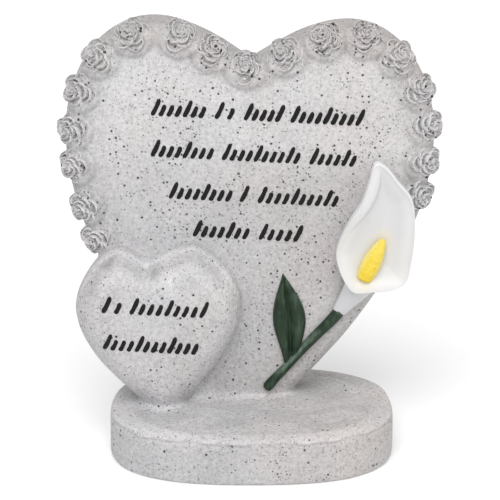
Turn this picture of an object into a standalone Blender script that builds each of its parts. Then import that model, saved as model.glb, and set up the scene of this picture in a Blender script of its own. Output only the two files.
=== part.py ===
"""A cast memorial ornament: a large heart edged with roses, standing on an oval base.

A small puffed heart leans in front of it at the left, and a calla lily with its stem and leaf lies
over its right edge. Rows of short raised strokes cross both hearts. All of it is one casting.
Metres, +Z up, the front faces -Y, and the origin is the centre of the base's underside.
"""

import math
from typing import NamedTuple

import bpy
from mathutils import Vector

# Base: an oval slab whose top edge slopes a little down to its wall
BASE_WIDTH = 0.1307
BASE_DEPTH = 0.097
BASE_HEIGHT = 0.022
BASE_SQUARENESS = 2.6
BASE_RIM_WIDTH = 0.009
BASE_RIM_DROP = 0.0024
BASE_FOOT_RADIUS = 0.002
BASE_SEGMENTS = 48

# Large heart: an upright slab whose point is sunk in the base
HEART_WIDTH = 0.167
HEART_TOP = 0.1975
HEART_SINK = 0.019
HEART_CENTRE_X = -0.0017
HEART_LEAN = math.radians(1.2)
HEART_SETBACK = 0.0075
HEART_THICKNESS = 0.025
HEART_CROWN = 0.003
HEART_MARGIN = 0.021
HEART_EDGE_RADIUS = 0.0045
HEART_BACK_RADIUS = 0.003

# Small heart: puffed, in front of the large one and sunk a little into it
SMALL_WIDTH = 0.0756
SMALL_TOP = 0.0975
SMALL_SINK = 0.008
SMALL_CENTRE_X = -0.0420
SMALL_LEAN = math.radians(-3)
SMALL_PROUD = 0.020
SMALL_OVERLAP = 0.003
SMALL_CROWN = 0.0025
SMALL_MARGIN = 0.018
SMALL_EDGE_RADIUS = 0.011
SMALL_BACK_RADIUS = 0.004

# Web: a low dome that closes the gap between the feet of the hearts
WEB_SHARE = 0.385
WEB_SETBACK = 0.005
WEB_WIDTH = 0.025
WEB_DEPTH = 0.023
WEB_HEIGHT = 0.0145

# Roses: one in the notch, the others strung down both sides of the rim, at steps in diameters
ROSE_DIAMETER = 0.0158
ROSE_HEIGHT = 0.0064
ROSE_TILT = math.radians(38)
ROSE_TURN = 0.7
ROSE_INSET = 0.0034
ROSE_RISE = 0.0034
ROSE_NOTCH_SHIFT = -0.0022
ROSE_PETALS = 4
ROSE_STEPS_LEFT = (1.19, 1.04, 1.49, 1.28, 1.25, 1.20, 1.08, 1.29, 1.05)
ROSE_STEPS_RIGHT = (1.05, 1.24, 1.26, 1.21, 1.25, 1.13, 1.14, 1.05)

# Calla lily: a flared hood, its spike, and the throat that runs into the stem
LILY_HEIGHT = 0.0635
LILY_FOOT = (0.0515, 0.0740)
LILY_PROUD = 0.0125
LILY_WELL = 0.0075
LILY_BACK = 0.0170
SPIKE_LENGTH = 0.0220
SPIKE_RADIUS = 0.0044
SPIKE_LEAN = math.radians(25)
THROAT_RADIUS = 0.0074
THROAT_END = 0.0031
THROAT_LIFT = 0.0040
THROAT_FLATNESS = 0.6
STEM_RADIUS = 0.0029
STEM_RISE = 0.0010

# Leaf: folded along its middle, growing from the stem
LEAF_LENGTH = 0.0437
LEAF_WIDTH = 0.0152
LEAF_NECK = 0.0064
LEAF_FOOT = (0.0180, 0.0400)
LEAF_LEAN = math.radians(5)
LEAF_BOW = 0.0012
LEAF_PROUD = 0.0028
LEAF_FOLD = 0.0016

# Strokes: slanted raised marks in rows, where an inscription would be
STROKE_WIDTH = 0.0017
STROKE_LOW = 0.0054
STROKE_TALL = 0.0080
STROKE_TALL_TURN = 4
STROKE_PITCH = 0.0036
STROKE_SLANT = math.radians(25)
STROKE_RELIEF = 0.0005
ROW_FALL = math.radians(3)
LARGE_ROWS = (
    (0.1575, ((-0.0457, -0.0200), (-0.0170, -0.0072), (-0.0040, 0.0143), (0.0170, 0.0503))),
    (0.1384, ((-0.0460, -0.0166), (-0.0139, 0.0225), (0.0256, 0.0478))),
    (0.1186, ((-0.0381, -0.0082), (-0.0059, 0.0009), (0.0023, 0.0399))),
    (0.1005, ((-0.0273, -0.0005), (0.0027, 0.0228))),
)
SMALL_ROWS = (
    (0.0695, ((-0.0684, -0.0585), (-0.0558, -0.0200))),
    (0.0516, ((-0.0683, -0.0237),)),
)

# How deep a raised piece is sunk into what carries it
SUNK = 0.0015


class HeartShape(NamedTuple):
    """An outline's proportions, as shares of its half width (across) and height (up)."""

    lobe_reach: float
    notch_drop: float
    notch_shift: float
    waist_drop: float
    fullness: float
    waist_pull: float
    flank: float
    detail: int


LARGE_SHAPE = HeartShape(0.53, 0.096, -0.005, 0.253, 0.55, 0.245, 0.63, 18)
SMALL_SHAPE = HeartShape(0.45, 0.085, -0.10, 0.330, 0.36, 0.235, 0.56, 14)


def clear_scene():
    for old in list(bpy.data.objects):
        bpy.data.objects.remove(old, do_unlink=True)


def material(name, colour, roughness):
    made = bpy.data.materials.new(name)
    made.use_nodes = True
    shader = made.node_tree.nodes["Principled BSDF"]
    shader.inputs["Base Color"].default_value = (*colour, 1.0)
    shader.inputs["Roughness"].default_value = roughness
    shader.inputs["Metallic"].default_value = 0.0
    return made


def bezier(start, pull_a, pull_b, end, count):
    """Points along a cubic curve, without its last one."""
    points = []
    for step in range(count):
        t = step / count
        u = 1 - t
        weights = (u**3, 3 * u * u * t, 3 * u * t * t, t**3)
        corners = (start, pull_a, pull_b, end)
        points.append(tuple(sum(w * c[axis] for w, c in zip(weights, corners)) for axis in (0, 1)))
    return points


def smooth_loop(knots, count):
    """A closed curve through the knots, with count points from each knot to the next."""
    total = len(knots)
    points = []
    for index in range(total):
        p0, p1, p2, p3 = (knots[(index + offset - 1) % total] for offset in range(4))
        pull_a = tuple(p1[axis] + (p2[axis] - p0[axis]) / 6 for axis in (0, 1))
        pull_b = tuple(p2[axis] - (p3[axis] - p1[axis]) / 6 for axis in (0, 1))
        points += bezier(p1, pull_a, pull_b, p2, count)
    return points


def turned(point, about, angle):
    """A point of the front plane, turned clockwise about another by the angle."""
    x = point[0] - about[0]
    z = point[1] - about[1]
    return (
        about[0] + x * math.cos(angle) + z * math.sin(angle),
        about[1] - x * math.sin(angle) + z * math.cos(angle),
    )


def heart_side(shape, side, half, top, tip):
    """One half of a heart's outline, from the notch down to the point, without the point."""
    height = top - tip
    notch = (shape.notch_shift * half, top - shape.notch_drop * height)
    waist = top - shape.waist_drop * height
    lobe = (side * shape.lobe_reach * half, top)
    shoulder = side * (shape.lobe_reach + shape.fullness * (1 - shape.lobe_reach)) * half
    edge = (side * half, waist)
    rise = (notch[0] + side * 0.14 * half, notch[1] + 0.42 * shape.notch_drop * height)
    points = bezier(notch, rise, (side * 0.33 * half, top), lobe, shape.detail // 3)
    above = (side * half, waist + shape.fullness * shape.waist_drop * height)
    points += bezier(lobe, (shoulder, top), above, edge, shape.detail // 2)
    below = (side * half, waist - shape.waist_pull * height)
    flank = (side * shape.flank * half, tip + shape.waist_pull * height)
    return points + bezier(edge, below, flank, (0.0, tip), shape.detail)


def heart_outline(shape, width, top, tip, lean):
    """A heart as (x, z) points, clockwise from its notch, leaning clockwise about its middle."""
    right = heart_side(shape, 1, width / 2, top, tip)
    left = heart_side(shape, -1, width / 2, top, tip)
    loop = right + [(0.0, tip)] + left[:0:-1]
    return [turned(point, (0.0, (top + tip) / 2), lean) for point in loop]


def edge_distance(x, z, outline):
    """How far a point is from the nearest side of a closed outline."""
    nearest = math.inf
    for (ax, az), (bx, bz) in zip(outline, outline[1:] + outline[:1]):
        dx = bx - ax
        dz = bz - az
        along = ((x - ax) * dx + (z - az) * dz) / (dx * dx + dz * dz)
        along = min(1.0, max(0.0, along))
        nearest = min(nearest, math.hypot(x - ax - along * dx, z - az - along * dz))
    return nearest


def swell(distance, radius, crown, margin):
    """How far a cushioned face stands forward of where its rounded edge begins.

    The face rises over the margin and is flat further in.
    """
    if distance < radius:
        rounded = math.sqrt(radius**2 - (radius - distance) ** 2)
    else:
        rounded = radius
    share = min(1.0, distance / margin)
    return rounded + crown * (1 - (1 - share) ** 2)


def build_mesh(name, points, faces, finish):
    mesh = bpy.data.meshes.new(name)
    mesh.from_pydata([tuple(point) for point in points], [], faces)
    mesh.materials.append(finish)
    made = bpy.data.objects.new(name, mesh)
    bpy.context.scene.collection.objects.link(made)
    return made


def skin_rings(name, rings, finish, pole=None):
    """A closed body over a run of equal rings.

    Its first end is flat, and its last end is flat too or runs up to a pole. Seen from the last
    end, each ring runs anticlockwise.
    """
    count = len(rings[0])
    points = [point for ring in rings for point in ring]
    faces = [tuple(reversed(range(count)))]
    for row in range(len(rings) - 1):
        for index in range(count):
            a = row * count + index
            b = row * count + (index + 1) % count
            faces.append((a, b, b + count, a + count))
    top = (len(rings) - 1) * count
    if pole is None:
        faces.append(tuple(range(top, top + count)))
    else:
        points.append(pole)
        faces += [(len(points) - 1, top + index, top + (index + 1) % count) for index in range(count)]
    return build_mesh(name, points, faces, finish)


def oval(half_width, half_depth, z):
    """A ring of the base's rounded-off oval at one height."""
    power = 2 / BASE_SQUARENESS
    ring = []
    for index in range(BASE_SEGMENTS):
        angle = 2 * math.pi * index / BASE_SEGMENTS
        c = math.cos(angle)
        s = math.sin(angle)
        x = half_width * math.copysign(abs(c) ** power, c)
        y = half_depth * math.copysign(abs(s) ** power, s)
        ring.append((x, y, z))
    return ring


def make_base(name, finish):
    profile = []
    for step in range(3):
        angle = math.pi / 2 * step / 2
        inset = BASE_FOOT_RADIUS * (1 - math.sin(angle))
        profile.append((inset, BASE_FOOT_RADIUS * (1 - math.cos(angle))))
    for step in range(5):
        angle = math.pi / 2 * step / 4
        inset = BASE_RIM_WIDTH * (1 - math.cos(angle))
        profile.append((inset, BASE_HEIGHT - BASE_RIM_DROP * (1 - math.sin(angle))))
    rings = []
    for inset, z in profile:
        rings.append(oval(BASE_WIDTH / 2 - inset, BASE_DEPTH / 2 - inset, z))
    return skin_rings(name, rings, finish)


class HeartBody:
    """A heart-shaped cushion standing in the X-Z plane, with its face towards -Y."""

    def __init__(self, outline, front, back, radius, crown, margin, back_radius):
        self.outline = outline
        self.front = front
        self.back = back
        self.radius = radius
        self.crown = crown
        self.margin = margin
        self.back_radius = back_radius
        highest = max(z for _, z in outline)
        lowest = min(z for _, z in outline)
        leftmost = min(x for x, _ in outline)
        rightmost = max(x for x, _ in outline)
        self.centre = ((leftmost + rightmost) / 2, lowest + 0.56 * (highest - lowest))

    def face(self, x, z):
        """The depth of the front face at a point of the heart."""
        distance = edge_distance(x, z, self.outline)
        return self.front + self.radius + self.crown - swell(distance, self.radius, self.crown, self.margin)

    def shrunk(self, inset):
        """The outline drawn in towards the centre by the inset."""
        ring = []
        for x, z in self.outline:
            share = 1 - inset / math.hypot(x - self.centre[0], z - self.centre[1])
            ring.append((
                self.centre[0] + share * (x - self.centre[0]),
                self.centre[1] + share * (z - self.centre[1]),
            ))
        return ring

    def make(self, name, edge_steps, crown_steps, flat_share, finish):
        """Rings from the back round to the flat middle of the face, which is flat_share of the outline."""
        rings = [[(x, self.back, z) for x, z in self.shrunk(self.back_radius)]]
        rings.append([(x, self.back - self.back_radius, z) for x, z in self.outline])
        rim = self.front + self.radius + self.crown
        rings.append([(x, rim, z) for x, z in self.outline])
        widest = 1.15 * self.radius
        for step in range(1, edge_steps + 1):
            inset = widest * (1 - math.cos(math.pi / 2 * step / edge_steps))
            rings.append([(x, self.face(x, z), z) for x, z in self.shrunk(inset)])
        for step in range(1, crown_steps + 1):
            share = (1 - flat_share) * step / crown_steps
            ring = []
            for x, z in self.shrunk(widest):
                px = x + share * (self.centre[0] - x)
                pz = z + share * (self.centre[1] - z)
                ring.append((px, self.front if step == crown_steps else self.face(px, pz), pz))
            rings.append(ring)
        return skin_rings(name, [list(reversed(ring)) for ring in rings], finish)


def large_heart():
    upright = heart_outline(LARGE_SHAPE, HEART_WIDTH, HEART_TOP, BASE_HEIGHT - HEART_SINK, HEART_LEAN)
    outline = [(x + HEART_CENTRE_X, z) for x, z in upright]
    front = HEART_SETBACK - HEART_CROWN
    back = HEART_SETBACK + HEART_THICKNESS
    return HeartBody(outline, front, back, HEART_EDGE_RADIUS, HEART_CROWN, HEART_MARGIN, HEART_BACK_RADIUS)


def small_heart():
    upright = heart_outline(SMALL_SHAPE, SMALL_WIDTH, SMALL_TOP, BASE_HEIGHT - SMALL_SINK, SMALL_LEAN)
    outline = [(x + SMALL_CENTRE_X, z) for x, z in upright]
    front = HEART_SETBACK - SMALL_PROUD
    back = HEART_SETBACK + SMALL_OVERLAP
    return HeartBody(outline, front, back, SMALL_EDGE_RADIUS, SMALL_CROWN, SMALL_MARGIN, SMALL_BACK_RADIUS)


def make_web(name, finish):
    """A dome on the base, between the point of the small heart and that of the large one."""
    x = SMALL_CENTRE_X + WEB_SHARE * (HEART_CENTRE_X - SMALL_CENTRE_X)
    y = HEART_SETBACK + WEB_SETBACK
    rings = []
    for step in range(5):
        lift = math.pi / 2 * step / 5
        ring = []
        for index in range(16):
            angle = 2 * math.pi * index / 16
            across = WEB_WIDTH / 2 * math.cos(lift) * math.cos(angle)
            along = WEB_DEPTH / 2 * math.cos(lift) * math.sin(angle)
            ring.append((x + across, y + along, BASE_HEIGHT - SUNK + (WEB_HEIGHT + SUNK) * math.sin(lift)))
        rings.append(ring)
    return skin_rings(name, rings, finish, pole=(x, y, BASE_HEIGHT + WEB_HEIGHT))


def along_outline(outline, distance):
    """The point at a distance along a line of points, and the direction to the left of the way there."""
    walked = 0.0
    for a, b in zip(outline, outline[1:]):
        length = math.dist(a, b)
        if walked + length >= distance:
            share = (distance - walked) / length
            x = a[0] + share * (b[0] - a[0])
            z = a[1] + share * (b[1] - a[1])
            return (x, z), ((a[1] - b[1]) / length, (b[0] - a[0]) / length)
        walked += length
    return outline[-1], (0.0, -1.0)


def rose_places(heart):
    """Each rose's centre and the way it faces: the notch rose first, then down the left and the right."""
    notch = heart.outline[0]
    depth = HEART_SETBACK + HEART_EDGE_RADIUS - ROSE_RISE
    tilt = ROSE_TILT / 2
    middle = Vector((notch[0] + ROSE_NOTCH_SHIFT, depth, notch[1]))
    places = [(middle, Vector((0, -math.cos(tilt), math.sin(tilt))))]
    leftwards = [heart.outline[0]] + heart.outline[:0:-1]
    for side, outline, steps in ((-1, leftwards, ROSE_STEPS_LEFT), (1, heart.outline, ROSE_STEPS_RIGHT)):
        distance = 0.0
        for step in steps:
            distance += step * ROSE_DIAMETER
            (x, z), (left_x, left_z) = along_outline(outline, distance)
            outward = Vector((side * left_x, 0, side * left_z))
            centre = Vector((x, depth, z)) - ROSE_INSET * outward
            facing = Vector((0, -math.cos(ROSE_TILT), 0)) + math.sin(ROSE_TILT) * outward
            places.append((centre, facing))
    return places


def make_rose(name, centre, facing, spin, finish):
    """A full-blown rose as a low dome of three stepped rows of petals round a bud.

    Each row is (share of the radius, share of the height, depth of the petal scallops).
    """
    rows = (
        (0.84, -0.90, 0.00),
        (1.00, 0.28, 0.05),
        (0.74, 0.34, 0.03),
        (0.62, 0.76, 0.06),
        (0.42, 0.62, 0.03),
        (0.30, 1.00, 0.06),
    )
    count = ROSE_PETALS * 3
    across = Vector((0, 0, 1)).cross(facing).normalized()
    upward = facing.cross(across)
    rings = []
    for number, (reach, lift, scallop) in enumerate(rows):
        ring = []
        for index in range(count):
            angle = 2 * math.pi * index / count + spin + number * math.pi / count
            wave = math.cos(ROSE_PETALS * (angle - spin) + number * math.pi / 2)
            radius = ROSE_DIAMETER / 2 * (reach + scallop * wave)
            sideways = across * (radius * math.cos(angle)) + upward * (radius * math.sin(angle))
            ring.append(centre + sideways + facing * (ROSE_HEIGHT * lift))
        rings.append(ring)
    return skin_rings(name, rings, finish, pole=centre + facing * (0.74 * ROSE_HEIGHT))


def lily_outline():
    """The hood's edge, clockwise from its tip, as shares of its height from its foot."""
    shape = (
        (0.062, 0.988), (0.145, 0.962), (0.240, 0.850), (0.318, 0.757), (0.347, 0.650), (0.352, 0.500),
        (0.333, 0.300), (0.295, 0.135), (0.205, 0.075), (0.060, 0.055), (-0.078, 0.050), (-0.150, 0.135),
        (-0.200, 0.265), (-0.205, 0.380), (-0.130, 0.555), (-0.035, 0.705), (0.020, 0.860),
    )
    knots = [(LILY_FOOT[0] + x * LILY_HEIGHT, LILY_FOOT[1] + z * LILY_HEIGHT) for x, z in shape]
    return smooth_loop(knots, 2)


def lily_well():
    """The hollow's deepest point, beside the spike."""
    return (LILY_FOOT[0] + 0.085 * LILY_HEIGHT, LILY_FOOT[1] + 0.33 * LILY_HEIGHT)


def make_hood(finish):
    """The lily's hood: a rolled edge round a hollow, as rings of (share of the outline, depth)."""
    outline = lily_outline()
    middle = lily_well()
    edge = HEART_SETBACK - HEART_CROWN - LILY_PROUD
    rows = (
        (0.55, LILY_BACK), (0.86, 0.72 * LILY_BACK), (1.00, 0.30 * LILY_BACK), (0.98, 0.06 * LILY_BACK),
        (0.91, 0.0), (0.82, 0.12 * LILY_WELL), (0.62, 0.55 * LILY_WELL), (0.34, 0.90 * LILY_WELL),
    )
    rings = []
    for share, depth in rows:
        ring = []
        for x, z in outline:
            px = middle[0] + share * (x - middle[0])
            pz = middle[1] + share * (z - middle[1])
            rise = max(0.0, (pz - middle[1]) / LILY_HEIGHT)
            ring.append((px, edge + depth + 0.75 * LILY_PROUD * rise**1.3, pz))
        rings.append(list(reversed(ring)))
    return skin_rings("lily_hood", rings, finish, pole=(middle[0], edge + LILY_WELL, middle[1]))


def make_tube(name, stations, count, finish, flatness=1.0):
    """A closed body through (centre, radius) stations, round or flattened from front to back."""
    rings = []
    for index, (centre, radius) in enumerate(stations):
        before = stations[max(0, index - 1)][0]
        after = stations[min(len(stations) - 1, index + 1)][0]
        along = (after - before).normalized()
        side = along.cross(Vector((0, 1, 0))).normalized()
        lift = along.cross(side)
        ring = []
        for corner in range(count):
            angle = 2 * math.pi * corner / count
            across = radius * math.cos(angle)
            forward = flatness * radius * math.sin(angle)
            ring.append(centre + side * across + lift * forward)
        rings.append(ring)
    return skin_rings(name, rings, finish)


def make_spike(finish):
    well = lily_well()
    depth = HEART_SETBACK - HEART_CROWN - LILY_PROUD + LILY_WELL - SPIKE_RADIUS / 2
    foot = Vector((well[0] - 0.099 * LILY_HEIGHT, depth, well[1] - 0.207 * LILY_HEIGHT))
    along = Vector((math.sin(SPIKE_LEAN), 0, math.cos(SPIKE_LEAN)))
    stations = []
    for step in range(7):
        t = step / 6
        radius = SPIKE_RADIUS * math.sin(math.pi * (0.20 + 0.73 * t)) ** 0.6
        stations.append((foot + along * (SPIKE_LENGTH * t), radius))
    return make_tube("lily_spike", stations, 10, finish)


def stem_route():
    """The stem's middle line as (x, z), from the lily's throat down to the base."""
    top = (LILY_FOOT[0] - 0.0115, LILY_FOOT[1] - 0.0096)
    foot = (0.0072, BASE_HEIGHT + 0.0045)
    upper = (0.0295, BASE_HEIGHT + 0.0298)
    lower = (0.0165, BASE_HEIGHT + 0.0170)
    return bezier(top, upper, lower, foot, 7) + [foot]


def make_stem(heart, finish):
    route = stem_route()
    stations = []
    for index, (x, z) in enumerate(route):
        share = index / (len(route) - 1)
        radius = STEM_RADIUS * (1 - 0.28 * math.sin(math.pi * share**1.6))
        stations.append((Vector((x, heart.face(x, z) - STEM_RISE, z)), radius))
    return make_tube("lily_stem", stations, 10, finish)


def make_throat(heart, finish):
    """The lily's pale throat, narrowing from the hood's foot to the stem."""
    top = Vector((LILY_FOOT[0] - 0.0010, 0, LILY_FOOT[1] + 0.0065))
    x, z = stem_route()[0]
    low = Vector((x, 0, z))
    stations = []
    for step in range(4):
        t = step / 3
        centre = top.lerp(low, t)
        centre.y = heart.face(centre.x, centre.z) - STEM_RISE - THROAT_LIFT * (1 - t)
        stations.append((centre, THROAT_RADIUS + (THROAT_END - THROAT_RADIUS) * t**0.85))
    return make_tube("lily_throat", stations, 12, finish, THROAT_FLATNESS)


def leaf_half(t):
    """Half the leaf's width at a share of its length: a pointed blade on a neck that joins the stem."""
    blade = LEAF_WIDTH / 2 * math.sin(math.pi * t**0.92) ** 1.15
    return blade + LEAF_NECK / 2 * max(0.0, 1 - t / 0.35) ** 2


def make_leaf(heart, finish):
    """A pointed leaf folded along its middle: rows of points across it, from foot to tip."""
    stations = 9
    rings = []
    for step in range(stations):
        t = step / stations
        half = leaf_half(t)
        fold = LEAF_FOLD * 2 * half / LEAF_WIDTH
        middle = LEAF_FOOT[0] + LEAF_BOW * 4 * t * (1 - t)
        z = LEAF_FOOT[1] + LEAF_LENGTH * t
        ring = []
        for across, lift in ((-1, 0.45), (-0.86, 1.0), (0, 0), (0.86, 1.0), (1, 0.45), (0, -1)):
            x, turned_z = turned((middle + across * half, z), LEAF_FOOT, -LEAF_LEAN)
            surface = heart.face(x, turned_z)
            if lift < 0:
                y = surface + SUNK
            elif lift == 0:
                y = surface - LEAF_PROUD + fold
            else:
                y = surface - LEAF_PROUD * lift
            ring.append((x, y, turned_z))
        rings.append(ring)
    tip = turned((LEAF_FOOT[0], LEAF_FOOT[1] + LEAF_LENGTH), LEAF_FOOT, -LEAF_LEAN)
    point = (tip[0], heart.face(*tip) + SUNK / 3, tip[1])
    return skin_rings("lily_leaf", rings, finish, pole=point)


def stroke_places(rows):
    """The foot and head of each stroke of the rows, as (x, z) points.

    Strokes stand evenly in each span. The first of a span, and one at each turn after it, reach higher.
    """
    places = []
    lean = math.tan(STROKE_SLANT)
    for start_z, words in rows:
        row_start = words[0][0]
        for word_start, word_end in words:
            spare = lean * STROKE_LOW + STROKE_WIDTH
            gaps = round((word_end - word_start - spare) / STROKE_PITCH - 0.4)
            for index in range(gaps + 1):
                x = word_start + STROKE_WIDTH / 2 + index * (word_end - word_start - spare) / max(1, gaps)
                z = start_z - math.tan(ROW_FALL) * (x - row_start)
                reach = STROKE_TALL if index % STROKE_TALL_TURN == 0 else STROKE_LOW
                places.append(((x, z), (x + reach * lean, z + reach)))
    return places


def make_strokes(name, heart, rows, finish):
    """Narrow bars, all in one mesh, each standing a little proud of the heart it crosses."""
    points = []
    faces = []
    for foot, head in stroke_places(rows):
        length = math.dist(foot, head)
        along = ((head[0] - foot[0]) / length, (head[1] - foot[1]) / length)
        half = STROKE_WIDTH / 2
        first = len(points)
        for lift in (-SUNK / 2, STROKE_RELIEF):
            for end, side in ((foot, -1), (foot, 1), (head, 1), (head, -1)):
                x = end[0] + side * half * along[1]
                z = end[1] - side * half * along[0]
                points.append((x, heart.face(x, z) - lift, z))
        below = range(first, first + 4)
        above = range(first + 4, first + 8)
        faces.append(tuple(reversed(below)))
        faces.append(tuple(above))
        for index in range(4):
            following = (index + 1) % 4
            faces.append((below[index], below[following], above[following], above[index]))
    return build_mesh(name, points, faces, finish)


def unite(body, others):
    """Fuse the other forms into the body, and keep them as hidden guides."""
    forms = bpy.data.collections.new("fused_forms")
    bpy.context.scene.collection.children.link(forms)
    for other in others:
        bpy.context.scene.collection.objects.unlink(other)
        forms.objects.link(other)
        other.hide_render = True
        other.display_type = "WIRE"
    fuse = body.modifiers.new("fused", "BOOLEAN")
    fuse.operation = "UNION"
    fuse.solver = "EXACT"
    fuse.operand_type = "COLLECTION"
    fuse.collection = forms
    fuse.material_mode = "TRANSFER"


def main():
    clear_scene()
    stone = material("speckled_stone", (0.62, 0.61, 0.60), 0.75)
    white = material("petal_white", (0.86, 0.85, 0.85), 0.45)
    yellow = material("spike_yellow", (0.90, 0.70, 0.10), 0.55)
    green = material("leaf_green", (0.03, 0.06, 0.03), 0.50)
    black = material("stroke_black", (0.01, 0.01, 0.01), 0.40)
    large = large_heart()
    small = small_heart()
    body = make_base("memorial_heart", stone)
    forms = [large.make("large_heart_form", 3, 2, 0.62, stone), small.make("small_heart_form", 4, 2, 0.50, stone)]
    forms.append(make_web("web_form", stone))
    for number, (centre, facing) in enumerate(rose_places(large)):
        forms.append(make_rose(f"rose_{number + 1:02d}", centre, facing, ROSE_TURN * number, stone))
    forms += [make_hood(white), make_spike(yellow), make_throat(large, stone)]
    forms += [make_stem(large, green), make_leaf(large, green)]
    forms.append(make_strokes("large_strokes", large, LARGE_ROWS, black))
    forms.append(make_strokes("small_strokes", small, SMALL_ROWS, black))
    unite(body, forms)


main()
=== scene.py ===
"""The look of the memorial heart ornament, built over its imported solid.

The stone body is remeshed with soft fillets where its forms meet; the roses, the lily, its leaf and
stem and the strokes are finer pieces in the places their solids hold. Metres, +Z up, front to -Y.
"""

import math
from dataclasses import dataclass

import bpy
import numpy as np
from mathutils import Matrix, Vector, noise

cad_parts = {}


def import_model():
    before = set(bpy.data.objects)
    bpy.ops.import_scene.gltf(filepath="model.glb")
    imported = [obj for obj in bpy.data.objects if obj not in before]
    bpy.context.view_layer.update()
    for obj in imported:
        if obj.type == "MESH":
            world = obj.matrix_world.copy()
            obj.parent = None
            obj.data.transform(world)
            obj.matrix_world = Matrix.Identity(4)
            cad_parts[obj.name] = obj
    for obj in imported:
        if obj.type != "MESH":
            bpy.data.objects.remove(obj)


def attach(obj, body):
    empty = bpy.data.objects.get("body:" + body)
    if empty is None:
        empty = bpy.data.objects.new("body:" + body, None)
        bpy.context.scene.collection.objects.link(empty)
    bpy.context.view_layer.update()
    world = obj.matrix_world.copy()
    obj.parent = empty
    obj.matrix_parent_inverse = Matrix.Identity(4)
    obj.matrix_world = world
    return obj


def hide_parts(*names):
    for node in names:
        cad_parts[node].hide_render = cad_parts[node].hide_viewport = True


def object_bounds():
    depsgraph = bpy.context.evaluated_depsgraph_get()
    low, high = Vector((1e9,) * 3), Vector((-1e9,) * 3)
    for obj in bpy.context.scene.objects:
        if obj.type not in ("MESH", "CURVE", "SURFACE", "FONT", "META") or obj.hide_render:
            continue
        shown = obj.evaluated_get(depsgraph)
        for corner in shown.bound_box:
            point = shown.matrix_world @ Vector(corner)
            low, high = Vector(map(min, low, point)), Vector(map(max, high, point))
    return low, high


NODE = "memorial_heart"

# The solid's sizes, as in its source
BASE_WIDTH = 0.1307
BASE_DEPTH = 0.097
BASE_HEIGHT = 0.022
BASE_SQUARENESS = 2.6
BASE_RIM_WIDTH = 0.009
BASE_RIM_DROP = 0.0024
BASE_FOOT_RADIUS = 0.002
HEART_WIDTH = 0.167
HEART_TOP = 0.1975
HEART_SINK = 0.019
HEART_CENTRE_X = -0.0017
HEART_LEAN = math.radians(1.2)
HEART_SETBACK = 0.0075
HEART_THICKNESS = 0.025
HEART_CROWN = 0.003
HEART_MARGIN = 0.021
HEART_EDGE_RADIUS = 0.0045
HEART_BACK_RADIUS = 0.003
SMALL_WIDTH = 0.0756
SMALL_TOP = 0.0975
SMALL_SINK = 0.008
SMALL_CENTRE_X = -0.0420
SMALL_LEAN = math.radians(-3)
SMALL_PROUD = 0.020
SMALL_OVERLAP = 0.003
SMALL_CROWN = 0.0025
SMALL_MARGIN = 0.018
SMALL_EDGE_RADIUS = 0.011
SMALL_BACK_RADIUS = 0.004
ROSE_DIAMETER = 0.0158
ROSE_HEIGHT = 0.0064
ROSE_TILT = math.radians(38)
ROSE_INSET = 0.0034
ROSE_RISE = 0.0034
ROSE_NOTCH_SHIFT = -0.0022
ROSE_STEPS_LEFT = (1.19, 1.04, 1.49, 1.28, 1.25, 1.20, 1.08, 1.29, 1.05)
ROSE_STEPS_RIGHT = (1.05, 1.24, 1.26, 1.21, 1.25, 1.13, 1.14, 1.05)
LILY_HEIGHT = 0.0635
LILY_FOOT = (0.0515, 0.0740)
LILY_PROUD = 0.0125
LILY_WELL = 0.0075
LILY_BACK = 0.0170
SPIKE_LENGTH = 0.0220
SPIKE_RADIUS = 0.0044
SPIKE_LEAN = math.radians(25)
THROAT_RADIUS = 0.0074
THROAT_END = 0.0031
THROAT_LIFT = 0.0040
THROAT_FLATNESS = 0.6
STEM_RADIUS = 0.0029
STEM_RISE = 0.0010
LEAF_LENGTH = 0.0437
LEAF_WIDTH = 0.0152
LEAF_NECK = 0.0064
LEAF_FOOT = (0.0180, 0.0400)
LEAF_LEAN = math.radians(5)
LEAF_BOW = 0.0012
LEAF_PROUD = 0.0028
LEAF_FOLD = 0.0016
WEB_SHARE = 0.385
WEB_SETBACK = 0.005
WEB_WIDTH = 0.025
WEB_DEPTH = 0.023
WEB_HEIGHT = 0.0145
STROKE_WIDTH = 0.0017
STROKE_LOW = 0.0054
STROKE_TALL = 0.0080
STROKE_TALL_TURN = 4
STROKE_PITCH = 0.0036
STROKE_SLANT = math.radians(25)
STROKE_RELIEF = 0.0005
ROW_FALL = math.radians(3)
LARGE_ROWS = (
    (0.1575, ((-0.0457, -0.0200), (-0.0170, -0.0072), (-0.0040, 0.0143), (0.0170, 0.0503))),
    (0.1384, ((-0.0460, -0.0166), (-0.0139, 0.0225), (0.0256, 0.0478))),
    (0.1186, ((-0.0381, -0.0082), (-0.0059, 0.0009), (0.0023, 0.0399))),
    (0.1005, ((-0.0273, -0.0005), (0.0027, 0.0228))),
)
SMALL_ROWS = (
    (0.0695, ((-0.0684, -0.0585), (-0.0558, -0.0200))),
    (0.0516, ((-0.0683, -0.0237),)),
)
# lobe reach, notch drop, notch shift, waist drop, fullness, waist pull, flank
LARGE_SHAPE = (0.53, 0.096, -0.005, 0.253, 0.55, 0.245, 0.63)
SMALL_SHAPE = (0.45, 0.085, -0.10, 0.330, 0.36, 0.235, 0.56)

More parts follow.
